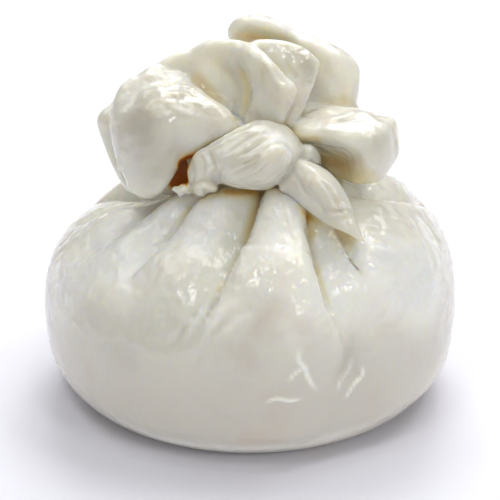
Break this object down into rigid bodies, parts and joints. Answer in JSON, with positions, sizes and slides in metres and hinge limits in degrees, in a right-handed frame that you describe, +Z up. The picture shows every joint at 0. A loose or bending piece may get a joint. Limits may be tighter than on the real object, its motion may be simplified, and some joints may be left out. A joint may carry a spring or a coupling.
{
  "type": "burrata",
  "caption": "Burrata: a round pouch of stretched curd, drawn in at the neck below a ruffle of soft folds and tied with a knotted strip of the same curd.",
  "frame": {"origin": "middle of the outline of the whole part seen from above, on the plane that it rests on", "axes": "+Z up through the neck, -Y towards the side with the knot, +X to the right of someone who faces the knot"},
  "size_m": [0.0802, 0.0751, 0.0722],
  "materials": {
    "curd_skin": null,
    "curd_strip": "the same curd pulled into a strip, finely fibrous along its length; gloss_plastic stands in for its wet shine"
  },
  "bodies": {
    "root": {"pouch": "curd_skin", "tie": "curd_strip"}
  },
  "joints": []
}
